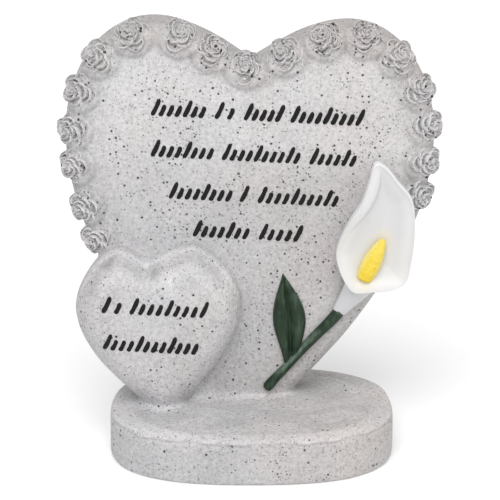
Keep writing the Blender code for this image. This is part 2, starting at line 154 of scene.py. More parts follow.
# Relief that the solid leaves out
BOSS_RADIUS = 0.0090
BOSS_HEIGHT = 0.0018
BOSS_SINK = 0.0040
BOSS_SHIFT = 0.0012
RIDGE_INSET = 0.0052
RIDGE_WIDTH = 0.0034
RIDGE_HEIGHT = 0.0016
DITCH_INSET = 0.0130
DITCH_WIDTH = 0.0042
DITCH_DEPTH = 0.0007
VALLEY_DEPTH = 0.0017
VALLEY_WIDTH = 0.0042
VALLEY_LENGTH = 0.0150
ROSE_BLEND = 20.0
ROSE_SPREAD = 1.07
ROSE_COLUMNS = 84
ROSE_ROWS = 42
STROKE_SPREAD = 1.18
VOXEL = 0.0008
STONE_TRIANGLES = 186000

# Rings of petals on a rose: how many, then shares of its radius: offset, reach, lift, rise to the edge
PETAL_RINGS = (
    (5, 0.54, 0.46, 0.10, 0.22),
    (4, 0.33, 0.42, 0.36, 0.22),
    (3, 0.20, 0.33, 0.58, 0.20),
    (2, 0.10, 0.21, 0.78, 0.16),
)

# The hood's back, as shares of its outline and of its depth
HOOD_BACK = (
    (0.50, 1.0), (0.80, 0.84), (0.93, 0.62), (0.99, 0.34), (1.0, 0.16), (0.995, 0.07), (0.985, 0.03),
)

# The groove under the base's rim: inset, and height over the wall's top
GROOVE = ((0, -0.0026), (0.0001, -0.0012), (0.0006, -0.0004), (0.0010, 0.0002))

# Painted highlights and painted shade on the small heart: x, z, half width, half height, gain
SMALL_HIGHLIGHTS_AND_SHADE = (
    (-0.0668, 0.0863, 0.0060, 0.0050, 0.09),
    (-0.0373, 0.0834, 0.0030, 0.0065, 0.14),
    (-0.0119, 0.0809, 0.0021, 0.0075, 0.19),
    (-0.0437, 0.0872, 0.0025, 0.0035, -0.15),
)

# The stage, and the photograph's camera
FLOOR_SIZE = 6.0
WORLD_STRENGTH = 0.62
CAMERA_TARGET = Vector((-0.0007, 0.0, 0.0956))
CAMERA_DISTANCE = 1.15
CAMERA_ELEVATION = math.radians(18)
CAMERA_LENS = 182.16


# Curves and outlines

def bezier(start, pull_a, pull_b, end, count):
    """Points along a cubic curve, without its last one."""
    t = (np.arange(count) / count)[:, None]
    u = 1 - t
    a, b, c, d = np.array([start, pull_a, pull_b, end], float)
    return u**3 * a + 3 * u * u * t * b + 3 * u * t * t * c + t**3 * d


def smooth_loop(knots, count, closed=True):
    """A curve through the knots, with count points from each knot to the next."""
    knots = np.array(knots, float)
    before, after = (knots[-1:], knots[:2]) if closed else (knots[:1], knots[-1:])
    run = np.concatenate([before, knots, after])
    parts = []
    for p0, p1, p2, p3 in zip(run, run[1:], run[2:], run[3:]):
        parts.append(bezier(p1, p1 + (p2 - p0) / 6, p2 - (p3 - p1) / 6, p2, count))
    return np.concatenate(parts if closed else [*parts, knots[-1:]])


def turned(points, about, angle):
    """Points of the front plane, turned clockwise about another by the angle."""
    x, z = np.moveaxis(np.asarray(points, float) - about, -1, 0)
    c = math.cos(angle)
    s = math.sin(angle)
    return np.stack([about[0] + x * c + z * s, about[1] - x * s + z * c], -1)


def heart_side(shape, side, half, top, tip, detail):
    """One half of a heart's outline, from the notch down to the point, without the point."""
    lobe_reach, notch_drop, notch_shift, waist_drop, fullness, waist_pull, flank = shape
    height = top - tip
    notch = (notch_shift * half, top - notch_drop * height)
    waist = top - waist_drop * height
    lobe = (side * lobe_reach * half, top)
    shoulder = side * (lobe_reach + fullness * (1 - lobe_reach)) * half
    edge = (side * half, waist)
    rise = (notch[0] + side * 0.14 * half, notch[1] + 0.42 * notch_drop * height)
    above = (side * half, waist + fullness * waist_drop * height)
    below = (side * half, waist - waist_pull * height)
    low = (side * flank * half, tip + waist_pull * height)
    return np.concatenate([
        bezier(notch, rise, (side * 0.33 * half, top), lobe, detail // 3),
        bezier(lobe, (shoulder, top), above, edge, detail // 2),
        bezier(edge, below, low, (0.0, tip), detail),
    ])


def heart_outline(shape, width, centre_x, top, tip, lean, detail):
    right = heart_side(shape, 1, width / 2, top, tip, detail)
    left = heart_side(shape, -1, width / 2, top, tip, detail)
    loop = np.concatenate([right, [(0.0, tip)], left[:0:-1]])
    return turned(loop, (0.0, (top + tip) / 2), lean) + (centre_x, 0)


def line_offset(points, line):
    """Signed distance from an open line: positive to the right of the way along it."""
    signed = np.full(len(points), np.inf)
    for a, b in zip(line, line[1:]):
        d = b - a
        t = np.clip(((points - a) @ d) / (d @ d), 0, 1)
        rel = points - a - t[:, None] * d
        gap = np.hypot(*rel.T)
        side = rel[:, 0] * d[1] - rel[:, 1] * d[0]
        signed = np.where(gap < np.abs(signed), np.copysign(gap, side), signed)
    return signed


def edge_distance(points, outline):
    """How far each point is from the nearest side of a closed outline."""
    return np.abs(line_offset(points, [*outline, outline[0]]))


def swell(distance, radius, crown, margin):
    rounded = np.sqrt(np.clip(radius**2 - np.clip(radius - distance, 0, None) ** 2, 0, None))
    share = np.clip(distance / margin, 0, 1)
    return rounded + crown * (1 - (1 - share) ** 2)


@dataclass
class HeartBody:
    """A heart-shaped cushion standing in the X-Z plane, with its face towards -Y."""

    outline: np.ndarray
    front: float
    back: float
    radius: float
    crown: float
    margin: float
    back_radius: float

    def __post_init__(self):
        low = self.outline.min(0)
        high = self.outline.max(0)
        self.centre = np.array([(low[0] + high[0]) / 2, low[1] + 0.56 * (high[1] - low[1])])

    def face(self, points):
        """The depth of the front face at points of the heart."""
        distance = edge_distance(points, self.outline)
        return self.front + self.radius + self.crown - swell(distance, self.radius, self.crown, self.margin)

    def shrunk(self, inset):
        rel = self.outline - self.centre
        reach = np.hypot(*rel.T)[:, None]
        return self.centre + rel * (1 - inset / reach)


def large_heart():
    tip = BASE_HEIGHT - HEART_SINK
    outline = heart_outline(LARGE_SHAPE, HEART_WIDTH, HEART_CENTRE_X, HEART_TOP, tip, HEART_LEAN, 48)
    front = HEART_SETBACK - HEART_CROWN
    back = HEART_SETBACK + HEART_THICKNESS
    return HeartBody(outline, front, back, HEART_EDGE_RADIUS, HEART_CROWN, HEART_MARGIN, HEART_BACK_RADIUS)


def small_heart():
    tip = BASE_HEIGHT - SMALL_SINK
    outline = heart_outline(SMALL_SHAPE, SMALL_WIDTH, SMALL_CENTRE_X, SMALL_TOP, tip, SMALL_LEAN, 36)
    front = HEART_SETBACK - SMALL_PROUD
    back = HEART_SETBACK + SMALL_OVERLAP
    return HeartBody(outline, front, back, SMALL_EDGE_RADIUS, SMALL_CROWN, SMALL_MARGIN, SMALL_BACK_RADIUS)


# Meshes

def add_object(name, data):
    made = bpy.data.objects.new(name, data)
    bpy.context.scene.collection.objects.link(made)
    return made


def build_mesh(name, points, faces, smooth=True):
    mesh = bpy.data.meshes.new(name)
    mesh.from_pydata([tuple(float(c) for c in p) for p in points], [], faces)
    if smooth:
        mesh.shade_smooth()
    return add_object(name, mesh)


def ring_faces(rows, count, start=0):
    faces = []
    for row in range(rows - 1):
        for index in range(count):
            a = start + row * count + index
            b = start + row * count + (index + 1) % count
            faces.append((a, b, b + count, a + count))
    return faces


def skin_rings(name, rings):
    """A closed body over a run of equal rings, with a pole at the middle of each end."""
    rings = np.array(rings, float)
    rows, count, _ = rings.shape
    faces = ring_faces(rows, count)
    foot = rows * count
    top = foot - count
    for index in range(count):
        following = (index + 1) % count
        faces.append((foot, following, index))
        faces.append((foot + 1, top + index, top + following))
    return build_mesh(name, [*rings.reshape(-1, 3), rings[0].mean(0), rings[-1].mean(0)], faces)


def flat(points, y):
    """Front-plane points with a depth."""
    return np.insert(points, 1, y, axis=1)


def turns(count):
    """Even angles round a whole turn."""
    return 2 * math.pi * np.arange(count) / count


def quarter(steps, whole, first=0):
    """Sines and cosines of steps along a quarter turn, which takes the whole number of them."""
    angles = (math.pi / 2 * step / whole for step in range(first, steps))
    return [(math.sin(a), math.cos(a)) for a in angles]


def oval(half_width, half_depth, z, count, squareness=2.0):
    c = np.cos(turns(count))
    s = np.sin(turns(count))
    x = half_width * np.copysign(np.abs(c) ** (2 / squareness), c)
    y = half_depth * np.copysign(np.abs(s) ** (2 / squareness), s)
    return np.stack([x, y, np.full(count, z)], -1)


def base_form():
    """The slab: a small rounded foot, a wall with a fine groove at its top, and a rim that slopes to it."""
    wall = BASE_HEIGHT - BASE_RIM_DROP
    profile = [(BASE_FOOT_RADIUS * (1 - s), BASE_FOOT_RADIUS * (1 - c)) for s, c in quarter(5, 4)]
    profile += [(inset, wall + rise) for inset, rise in GROOVE]
    profile += [(BASE_RIM_WIDTH * (1 - c), wall + BASE_RIM_DROP * s) for s, c in quarter(12, 11, 3)]
    rings = [oval(BASE_WIDTH / 2 - i, BASE_DEPTH / 2 - i, z, 160, BASE_SQUARENESS) for i, z in profile]
    return skin_rings("base_form", rings)


def web_form():
    """A dome that closes the gap between the feet of the two hearts."""
    x = SMALL_CENTRE_X + WEB_SHARE * (HEART_CENTRE_X - SMALL_CENTRE_X)
    y = HEART_SETBACK + WEB_SETBACK
    rings = []
    for s, c in quarter(12, 12.5):
        z = BASE_HEIGHT - 0.002 + (WEB_HEIGHT + 0.002) * s
        rings.append(oval(WEB_WIDTH / 2 * c, WEB_DEPTH / 2 * c, z, 48) + (x, y, 0))
    return skin_rings("web_form", rings)


def heart_form(body, name, relief):
    """A heart body with a dense face; relief adds to its depth."""
    rings = [flat(body.shrunk(body.back_radius), body.back)]
    rings.append(flat(body.shrunk(0.3 * body.back_radius), body.back - 0.3 * body.back_radius))
    rings.append(flat(body.outline, body.back - body.back_radius))
    rim = body.front + body.radius + body.crown
    rings.append(flat(body.outline, rim))
    edge_rows = 8
    face_rows = 26
    widest = 1.15 * body.radius
    layers = [body.shrunk(widest * (1 - c)) for _, c in quarter(edge_rows + 1, edge_rows, 1)]
    inner = body.shrunk(widest)
    for step in range(1, face_rows + 1):
        layers.append(inner + (body.centre - inner) * (0.97 * step / face_rows))
    for layer in layers:
        rings.append(flat(layer, body.face(layer) + relief(layer)))
    return skin_rings(name, [r[::-1] for r in rings])


def along_outline(outline, distance):
    walked = 0.0
    for a, b in zip(outline, outline[1:]):
        length = math.dist(a, b)
        if walked + length >= distance:
            share = (distance - walked) / length
            return a + share * (b - a), ((a[1] - b[1]) / length, (b[0] - a[0]) / length)
        walked += length
    return outline[-1], (0.0, -1.0)


def rose_places(heart):
    """Each rose's centre and the way it faces."""
    notch = heart.outline[0]
    depth = HEART_SETBACK + HEART_EDGE_RADIUS - ROSE_RISE
    tilt = ROSE_TILT / 2
    middle = Vector((notch[0] + ROSE_NOTCH_SHIFT, depth, notch[1]))
    places = [(middle, Vector((0, -math.cos(tilt), math.sin(tilt))))]
    leftwards = np.concatenate([heart.outline[:1], heart.outline[:0:-1]])
    for side, outline, steps in ((-1, leftwards, ROSE_STEPS_LEFT), (1, heart.outline, ROSE_STEPS_RIGHT)):
        distance = 0.0
        for step in steps:
            distance += step * ROSE_DIAMETER
            (x, z), (left_x, left_z) = along_outline(outline, distance)
            outward = Vector((side * left_x, 0, side * left_z))
            centre = Vector((x, depth, z)) - ROSE_INSET * outward
            facing = Vector((0, -math.cos(ROSE_TILT), 0)) + math.sin(ROSE_TILT) * outward
            places.append((centre, facing))
    return places


def rose_axes(facing):
    across = Vector((0, 0, 1)).cross(facing).normalized()
    return across, facing.cross(across)


def mound(centre, facing, inward, seed):
    """The rounded boss that a rose sits on, wider than the rose and reaching further in over the face."""
    across, upward = rose_axes(facing)
    rng = np.random.default_rng(seed)
    lobes = rng.uniform(0, 2 * np.pi)
    middle = centre + BOSS_SHIFT * inward
    rings = []
    for s, c in quarter(11, 10.5):
        lift = -BOSS_SINK + (BOSS_HEIGHT + BOSS_SINK) * s
        ring = []
        for a in turns(40):
            r = BOSS_RADIUS * c**0.8 * (1 + 0.07 * math.cos(5 * a + lobes))
            ring.append(middle + across * (r * math.cos(a)) + upward * (r * math.sin(a)) + facing * lift)
        rings.append(ring)
    return skin_rings("mound", rings)


def join(objects, name):
    bpy.ops.object.select_all(action="DESELECT")
    for obj in objects:
        obj.select_set(True)
    bpy.context.view_layer.objects.active = objects[0]
    bpy.ops.object.join()
    objects[0].name = name
    objects[0].data.name = name
    return objects[0]


def apply_modifiers(obj):
    graph = bpy.context.evaluated_depsgraph_get()
    fresh = bpy.data.meshes.new_from_object(obj.evaluated_get(graph))
    obj.modifiers.clear()
    old = obj.data
    obj.data = fresh
    bpy.data.meshes.remove(old)


def soften_creases(obj, rounds, strength, fall):
    """Smooths only where the surface is hollow, so the creases between forms fill into fillets."""
    mesh = obj.data
    co = vertex_values(obj, "co")
    count = len(co)
    edges = np.empty(len(mesh.edges) * 2, np.int64)
    mesh.edges.foreach_get("vertices", edges)
    a, b = edges.reshape(-1, 2).T
    valence = np.bincount(a, minlength=count) + np.bincount(b, minlength=count)

    def averaged(values):
        out = []
        for column in values.T:
            total = np.bincount(a, weights=column[b], minlength=count)
            total += np.bincount(b, weights=column[a], minlength=count)
            out.append(total / valence)
        return np.stack(out, -1)

    for _ in range(rounds):
        pull = averaged(co) - co
        hollow = np.clip((pull * vertex_values(obj, "normal")).sum(1) / fall, 0, 1)
        hollow = averaged(averaged(hollow[:, None]))
        co = co + pull * (strength * hollow)
        move_vertices(obj, co)


def vertex_values(obj, kind):
    """The places, as co, or the normals of a piece's vertices."""
    values = np.empty(len(obj.data.vertices) * 3)
    obj.data.vertices.foreach_get(kind, values)
    return values.reshape(-1, 3)


def move_vertices(obj, places):
    obj.data.vertices.foreach_set("co", places.ravel())
    obj.data.update()


def paint(obj, name, values):
    """Keeps one number for each vertex, for the material to read."""
    layer = obj.data.attributes.new(name, "FLOAT", "POINT")
    layer.data.foreach_set("value", np.asarray(values, np.float32))


def step_up(values, low, high):
    """Rises smoothly from 0 at low to 1 at high."""
    share = np.clip((values - low) / (high - low), 0, 1)
    return share * share * (3 - 2 * share)


def bell(values, middle, width):
    return np.exp(-(((values - middle) / width) ** 2))


def keep_inside(obj, box):
    """Holds a rough surface within the solid's box."""
    low, high = box
    move_vertices(obj, np.clip(vertex_values(obj, "co"), low, high))


def uneven(obj, size, amount, seed):
    """A slightly uneven surface, as a hand-finished casting has."""
    shift = Vector((seed, 2.3 * seed, -1.7 * seed))
    normals = [v.normal.copy() for v in obj.data.vertices]
    for vertex, normal in zip(obj.data.vertices, normals):
        vertex.co += normal * (amount * noise.noise(vertex.co / size + shift))


def stone_body(large, small, places):
    """The base, both hearts and the roses' bosses in one skin, with fillets where they meet."""
    def rim_relief(points):
        """A soft raised border where the roses are strung, with a shallow ditch inside it."""
        distance = edge_distance(points, large.outline)
        height = np.clip((points[:, 1] - 0.075) / 0.02, 0, 1)
        ridge = RIDGE_HEIGHT * bell(distance, RIDGE_INSET, RIDGE_WIDTH)
        return height * (DITCH_DEPTH * bell(distance, DITCH_INSET, DITCH_WIDTH) - ridge)

    def small_relief(points):
        """A valley that runs down from the notch between two full lobes."""
        notch = small.outline[0]
        below = (notch[1] - points[:, 1]) / VALLEY_LENGTH
        fade = step_up(1 - below, 0.0, 0.8) * step_up(below, -0.4, 0.2)
        lobes = 0.0006 * bell(np.abs(points[:, 0] - notch[0]), 0.0090, 0.0050)
        return fade * (VALLEY_DEPTH * bell(points[:, 0], notch[0] - 0.0012 * below, VALLEY_WIDTH) - lobes)

    forms = [base_form(), web_form(), heart_form(large, "large_form", rim_relief)]
    forms.append(heart_form(small, "small_form", small_relief))
    middle = Vector((large.centre[0], 0, large.centre[1]))
    for number, (centre, facing) in enumerate(places):
        inward = middle - centre
        inward.y = 0
        forms.append(mound(centre, facing, inward.normalized(), 40 + number))
    body = join(forms, "stone_body")
    remesh = body.modifiers.new("skin", "REMESH")
    remesh.mode = "VOXEL"
    remesh.voxel_size = VOXEL
    apply_modifiers(body)
    soften_creases(body, 36, 0.5, 0.00002)
    uneven(body, 0.016, 0.00022, 3.1)
    thin = body.modifiers.new("thin", "DECIMATE")
    thin.ratio = min(1.0, STONE_TRIANGLES / sum(len(p.vertices) - 2 for p in body.data.polygons))
    apply_modifiers(body)
    body.data.shade_smooth()
    paint_stone(body, large, small, places)
    return body


def paint_stone(body, large, small, places):
    """The paint, with painted light and shade: greyer along the rose border, a painted shadow under each
    rose, painted highlights in the fillets, warmer on top.
    """
    x, y, z = vertex_values(body, "co").T
    _, ny, nz = vertex_values(body, "normal").T
    front = np.stack([x, z], -1)
    facing = step_up(-ny, 0.1, 0.7)
    ahead = step_up(-y, 0.004 - HEART_SETBACK, 0.009 - HEART_SETBACK)
    above = step_up(z, BASE_HEIGHT, BASE_HEIGHT + 0.004)

    # the large heart: painted light, lighter up its face and darker low on it, and a painted highlight just
    # inside a greyer border
    upper = step_up(z, 0.085, 0.105)
    edge = edge_distance(front, large.outline)
    face = (1 - ahead) * above * step_up(-ny, -0.3, 0.2)
    painted_light_and_patina = 0.92 + face * (0.135 * step_up(z, 0.116, 0.148) - 0.045)
    painted_light_and_patina -= 0.07 * upper * (1 - step_up(edge, 0.008, 0.0130)) * facing
    painted_light_and_patina += 0.04 * upper * bell(edge, 0.022, 0.007) * facing
    # painted shade high up where the surface turns away from the front, and a little more at the very top
    painted_light_and_patina -= 0.08 * upper * (1 - facing)
    painted_light_and_patina -= 0.02 * step_up(z, 0.184, 0.193)
    # painted shade along the lower right edge
    flank = (1 - step_up(edge, 0.003, 0.0055)) * step_up(x, 0.0, 0.02) * step_up(-z, -0.078, -0.068)
    painted_light_and_patina -= 0.07 * flank * (z > BASE_HEIGHT + 0.004)
    # a painted shadow under each rose
    for centre, _ in places:
        rel = front - np.array([centre.x, centre.z])
        reach = np.hypot(*rel.T)
        below = 0.35 + 0.65 * step_up(-rel[:, 1] / np.maximum(reach, 1e-5), -0.4, 0.9)
        painted_light_and_patina -= 0.24 * below * bell(reach, 0.60 * ROSE_DIAMETER, 0.0011) * facing

    # the small heart, in painted light and shade: a highlight on the crest at its edge, a shaded grey ring,
    # then a lighter bulge
    low = edge_distance(front, small.outline)
    painted_light_and_patina += 0.05 * bell(low, 0.0090, 0.0024) * step_up(z, 0.050, 0.080) * ahead
    painted_light_and_patina -= 0.10 * bell(low, 0.0042, 0.0017) * step_up(z, 0.065, 0.083) * ahead
    painted_light_and_patina += 0.22 * bell(low, 0.0008, 0.0008) * step_up(z, 0.070, 0.085) * ahead
    # painted highlights, and painted shade in the valley under the notch
    for touch_x, touch_z, wide, tall, gain in SMALL_HIGHLIGHTS_AND_SHADE:
        painted_light_and_patina += gain * bell(x, touch_x, wide) * bell(z, touch_z, tall) * ahead
    # painted shade down the small heart's left side
    painted_light_and_patina -= 0.05 * step_up(-x, 0.055, 0.075) * ahead * above

    # painted light: lighter in the corner between the hearts, and painted highlights on the fillets where
    # they stand on the base
    corner = np.hypot(np.hypot(x + 0.0205, y - 0.001), 0.75 * (z - 0.029))
    painted_light_and_patina += 0.10 * bell(corner, 0, 0.0105)
    foot = bell(z, BASE_HEIGHT + 0.0014, 0.0016) * step_up(np.abs(nz), 0.15, 0.5)
    inner = np.hypot(x / (BASE_WIDTH / 2), y / (BASE_DEPTH / 2)) < 0.86
    painted_light_and_patina += 0.16 * foot * inner * (ny < 0)

    # the base: a painted highlight in a pale band round its top, over a dark crease of painted shade, with
    # painted shade on its walls and just above the crease
    wall = BASE_HEIGHT - BASE_RIM_DROP
    waver = 0.0004 * np.sin(x / 0.006) + 0.0003 * np.sin(x / 0.0023 + 1.0)
    crease = bell(z, wall + waver, 0.00045) * step_up(-ny, 0.0, 0.3)
    side = 1 - step_up(np.abs(nz), 0.25, 0.6)
    reach = sum(np.abs(v / (size / 2)) ** BASE_SQUARENESS for v, size in ((x, BASE_WIDTH), (y, BASE_DEPTH)))
    band = step_up(reach ** (1 / BASE_SQUARENESS), 0.835, 0.87) * step_up(z, wall - 0.0004, wall + 0.0004)
    on_base = z < BASE_HEIGHT + 0.001
    painted_light_and_patina += on_base * (band * (0.09 + 0.09 * step_up(-y, 0.010, 0.035)) - 0.06 * side * (1 - band))
    painted_light_and_patina -= 0.11 * on_base * bell(z, wall + 0.0010, 0.0007) * step_up(-ny, 0.2, 0.7)
    paint(body, "painted_light_and_patina", painted_light_and_patina - 0.28 * crease)

    border = (1 - step_up(edge, 0.006, 0.013)) * step_up(z, 0.150, 0.185)
    crown = border * (0.38 + 0.45 * step_up(z, 0.184, 0.193))
    paint(body, "warmth", np.minimum(1.0, 0.55 * step_up(x, -0.05, 0.05) + crown))


def petal_ring(rng, count, offset, reach, height, cup):
    """Petals of one ring: x, z, radius, height at the middle, rise to the edge, tilt along the ring."""
    petals = []
    turn = rng.uniform(0, 2 * np.pi)
    for index in range(count):
        angle = turn + 2 * np.pi * (index + rng.uniform(-0.10, 0.10)) / count
        out = offset * rng.uniform(0.92, 1.08)
        size = reach * rng.uniform(0.92, 1.08)
        lift = height + rng.uniform(-0.03, 0.03)
        petals.append((out * math.cos(angle), out * math.sin(angle), size, lift, cup, 0.11))
    return petals


def rose_height(x, z, petals):
    """The height of the highest petal at each point of the rose's plane."""
    total = np.full(x.shape, math.exp(ROSE_BLEND * -0.35))
    for px, pz, size, lift, cup, tilt in petals:
        dx = x - px
        dz = z - pz
        d = np.hypot(dx, dz) / size
        along = (dz * px - dx * pz) / max(math.hypot(px, pz), 1e-6) / size
        surface = lift + cup * d**2 + tilt * along + 0.07 * bell(d, 0.90, 0.08)
        surface = surface - 5.0 * np.clip(d - 0.97, 0, None)
        total += np.exp(ROSE_BLEND * np.clip(surface, -1.5, 1.5))
    return np.log(total) / ROSE_BLEND


def rose_mesh(centre, facing, seed, points, faces, rose_light_and_patina):
    """One carved rose: rings of overlapping petals round a bud, on a polar grid with a sunk foot."""
    rng = np.random.default_rng(seed)
    petals = []
    for ring in PETAL_RINGS:
        petals += petal_ring(rng, *ring)
    across, upward = rose_axes(facing)
    columns = ROSE_COLUMNS
    angle = turns(columns)
    rim = np.full(columns, 0.80)
    for px, pz, size, *_ in petals[:PETAL_RINGS[0][0]]:
        toward = px * np.cos(angle) + pz * np.sin(angle)
        inside = size**2 - (px**2 + pz**2 - toward**2)
        rim = np.maximum(rim, toward + np.sqrt(np.clip(inside, 0, None)))
    rim = np.minimum(rim, 1.04)
    shares = np.linspace(1.0, 0.03, ROSE_ROWS)
    x = np.outer(shares, rim * np.cos(angle))
    z = np.outer(shares, rim * np.sin(angle))
    lift = rose_height(x, z, petals)
    lift[0] = np.minimum(lift[0], 0.12)
    blurred = lift
    for _ in range(3):
        sides = np.roll(blurred, 1, axis=1) + np.roll(blurred, -1, axis=1)
        padded = np.concatenate([blurred[:1], blurred, blurred[-1:]])
        blurred = (blurred + sides + padded[:-2] + padded[2:]) / 5
    # painted highlights on the higher petals and on the carving's ridges, darker in its grooves
    painted_light_and_patina = 0.93 + 0.12 * np.clip(lift, 0, 1) + np.clip(1.9 * (lift - blurred), -0.19, 0.13)
    x, z = (np.concatenate([v[:1] * 0.86, v[:1] * 0.98, v]) for v in (x, z))
    lift = np.concatenate([np.full((1, columns), -0.90), np.full((1, columns), -0.40), lift])
    painted_light_and_patina = np.concatenate([np.full((2, columns), 0.85), painted_light_and_patina])
    size = ROSE_SPREAD * ROSE_DIAMETER / 2
    first = len(points)
    for px, pz, up, shade in zip(x.ravel() * size, z.ravel() * size, lift.ravel(), painted_light_and_patina.ravel()):
        place = centre + across * float(px) + upward * float(pz)
        crumple = 0.00030 * noise.noise(place / 0.0022) + 0.00016 * noise.noise(place / 0.0009)
        points.append(place + facing * (ROSE_HEIGHT * 0.95 * float(up) + crumple))
        rose_light_and_patina.append(shade)
    faces += ring_faces(len(x), columns, first)
    pole = len(points)
    top = pole - columns
    middle = float(rose_height(np.zeros(1), np.zeros(1), petals)[0])
    points.append(centre + facing * (ROSE_HEIGHT * 0.95 * middle))
    rose_light_and_patina.append(0.85)
    faces += [(pole, top + index, top + (index + 1) % columns) for index in range(columns)]
    faces.append(tuple(reversed(range(first, first + columns))))


def make_roses(places):
    points = []
    faces = []
    rose_light_and_patina = []
    for number, (centre, facing) in enumerate(places):
        rose_mesh(centre, facing, 11 + number, points, faces, rose_light_and_patina)
    roses = build_mesh("rose_petals", points, faces)
    paint(roses, "painted_light_and_patina", rose_light_and_patina)
    paint(roses, "warmth", 0.15 + 0.30 * step_up(vertex_values(roses, "co")[:, 2], 0.150, 0.185))
    return roses


def on_lily(shares):
    """Points of the front plane from shares of the lily's height, measured from its foot."""
    return np.array(LILY_FOOT) + LILY_HEIGHT * np.asarray(shares)


def lily_outline(detail):
    shape = (
        (0.062, 0.988), (0.145, 0.962), (0.240, 0.850), (0.318, 0.757), (0.347, 0.650), (0.352, 0.500),
        (0.333, 0.300), (0.295, 0.135), (0.205, 0.075), (0.060, 0.055), (-0.078, 0.050), (-0.150, 0.135),
        (-0.200, 0.265), (-0.205, 0.380), (-0.130, 0.555), (-0.035, 0.705), (0.020, 0.860),
    )
    return smooth_loop(on_lily(shape), detail)


def lily_well():
    return on_lily((0.085, 0.33))


def lily_base_depth(points):
    """The depth of the hood's rim: it leans back towards its tip."""
    rise = np.clip((points[:, 1] - lily_well()[1]) / LILY_HEIGHT, 0, None)
    return HEART_SETBACK - HEART_CROWN - LILY_PROUD + 0.75 * LILY_PROUD * rise**1.3


def fold_line():
    """The inner line of the rolled left edge, from the tip down."""
    shape = (
        (0.098, 0.975), (0.105, 0.863), (0.084, 0.757), (0.029, 0.651), (-0.049, 0.558), (-0.150, 0.450),
        (-0.196, 0.340),
    )
    return smooth_loop(on_lily(shape), 8, closed=False)


def make_hood():
    """The hood: a thin rim round a smooth hollow, with its left edge rolled over inwards."""
    outline = lily_outline(12)
    middle = lily_well()
    line = fold_line()
    rings = []
    for share, depth in HOOD_BACK:
        layer = middle + share * (outline - middle)
        rings.append(flat(layer, lily_base_depth(layer) + depth * LILY_BACK))
    rows = 48
    spread = outline - middle
    reach = np.hypot(*spread.T)[:, None]
    # the inner rings lose the outline's corners, so that no crease runs down to the middle
    eased = spread * np.minimum(reach, 0.0165 + 0.5 * np.maximum(0.0, reach - 0.0165)) / reach
    for step in range(rows):
        share = 0.975 * (1 - step / rows) ** 0.9 + 0.002
        blend = np.clip((0.97 - share) / 0.55, 0, 1) ** 2
        layer = middle + share * (spread + blend * (eased - spread))
        gap = edge_distance(layer, outline)
        hollow = LILY_WELL * (1 - np.exp(-gap / 0.0062)) * 1.08
        lip = 0.0006 * bell(gap, 0, 0.0011)
        offset = line_offset(layer, line)
        band = step_up(offset, -0.0007, 0.0007)
        width = np.maximum(gap + np.abs(offset), 0.0008)
        across = np.clip(gap / width, 0, 1)
        taper = np.clip((width - 0.0006) / 0.0045, 0, 1)
        roll = 0.0008 * taper * band * np.sin(np.pi * (0.14 + 0.86 * across)) ** 0.7
        ridge = 0.00022 * taper * bell(offset, 0.0003, 0.0006)
        depth = lily_base_depth(layer) + hollow * (1 - 0.22 * taper * band) - lip - roll - ridge
        rings.append(flat(layer, depth))
    hood = skin_rings("lily_hood", [r[::-1] for r in rings])
    foot, along = spike_line()
    places = vertex_values(hood, "co")[:, [0, 2]]
    rel = places - np.array([foot.x, foot.z])
    way = np.array([along.x, along.z])
    forward = np.clip(rel @ way, 0, SPIKE_LENGTH)
    gap = np.hypot(*(rel - forward[:, None] * way).T)
    paint(hood, "stain", 0.16 * (1 - step_up(gap, 0.4 * SPIKE_RADIUS, SPIKE_RADIUS + 0.0016)))
    inside = step_up(edge_distance(places, outline), 0.0012, 0.0075)
    high = step_up(places[:, 1], middle[1] - 0.006, middle[1] + 0.012)
    paint(hood, "shade", inside * (0.70 + 0.30 * high))
    return hood


def tube(name, stations, count, squash=None, flatness=1.0):
    """A closed body through (centre, radius) stations; squash shapes its section."""
    rings = []
    for index, (centre, radius) in enumerate(stations):
        before = stations[max(0, index - 1)][0]
        after = stations[min(len(stations) - 1, index + 1)][0]
        along = (after - before).normalized()
        side = along.cross(Vector((0, 1, 0))).normalized()
        lift = along.cross(side)
        ring = []
        for angle in turns(count):
            r = radius * (squash(angle, index / (len(stations) - 1)) if squash else 1.0)
            ring.append(centre + side * (r * math.cos(angle)) + lift * (flatness * r * math.sin(angle)))
        rings.append(ring)
    return skin_rings(name, rings)


def spike_line():
    """The spike's foot and the way it points."""
    well = lily_well()
    depth = HEART_SETBACK - HEART_CROWN - LILY_PROUD + LILY_WELL - SPIKE_RADIUS / 2
    foot = Vector((well[0] - 0.099 * LILY_HEIGHT, depth, well[1] - 0.207 * LILY_HEIGHT))
    return foot, Vector((math.sin(SPIKE_LEAN), 0, math.cos(SPIKE_LEAN)))


def make_spike():
    """The spike: a full lower half, a pointed top, and paint that pales to its sides and top."""
    foot, along = spike_line()
    stations = []
    for step in range(61):
        t = step / 60
        radius = SPIKE_RADIUS * math.sin(math.pi * (0.24 + 0.72 * t)) ** 0.75
        if t < 0.07:
            radius *= math.sqrt(1 - (1 - t / 0.07) ** 2 * 0.9)
        if t > 0.94:
            radius *= math.sqrt(max(0.02, 1 - ((t - 0.94) / 0.06) ** 2))
        stations.append((foot + along * (SPIKE_LENGTH * t), radius))
    spike = tube("lily_spike", stations, 48)
    normals = [v.normal.copy() for v in spike.data.vertices]
    sides = Vector((along.z, 0, -along.x))
    pale = []
    for vertex, normal in zip(spike.data.vertices, normals):
        cell = noise.voronoi(vertex.co / 0.00125)[0][0]
        share = (vertex.co - foot).dot(along) / SPIKE_LENGTH
        pale.append(0.30 * max(0.0, share) + 0.75 * max(0.0, abs(normal.dot(sides)) - 0.55) / 0.45)
        vertex.co += normal * (0.00012 * (0.55 - cell) + 0.0001 * noise.noise(vertex.co / 0.004))
    paint(spike, "pale", pale)
    return spike


